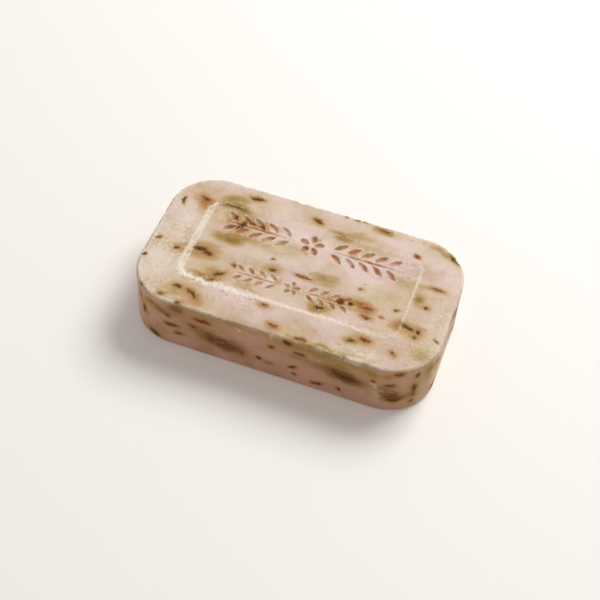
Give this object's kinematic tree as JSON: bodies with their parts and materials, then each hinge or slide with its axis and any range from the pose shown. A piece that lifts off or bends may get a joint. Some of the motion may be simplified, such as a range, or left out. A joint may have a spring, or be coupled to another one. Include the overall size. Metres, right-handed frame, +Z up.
{
  "type": "bar of soap",
  "caption": "Rounded rectangular bar of soap with a shallow stamped panel and a pressed leaf border in its upper face, dried petal flecks throughout.",
  "frame": {"origin": "middle of the flat underside", "axes": "+X along the bar's length, +Y across it towards the back, +Z up out of the stamped face"},
  "size_m": [0.1, 0.056, 0.021],
  "materials": {
    "soap": "waxy, pale pinkish beige, with brown petal flecks and olive stains"
  },
  "bodies": {
    "root": {"soap_bar": "soap"}
  },
  "joints": []
}
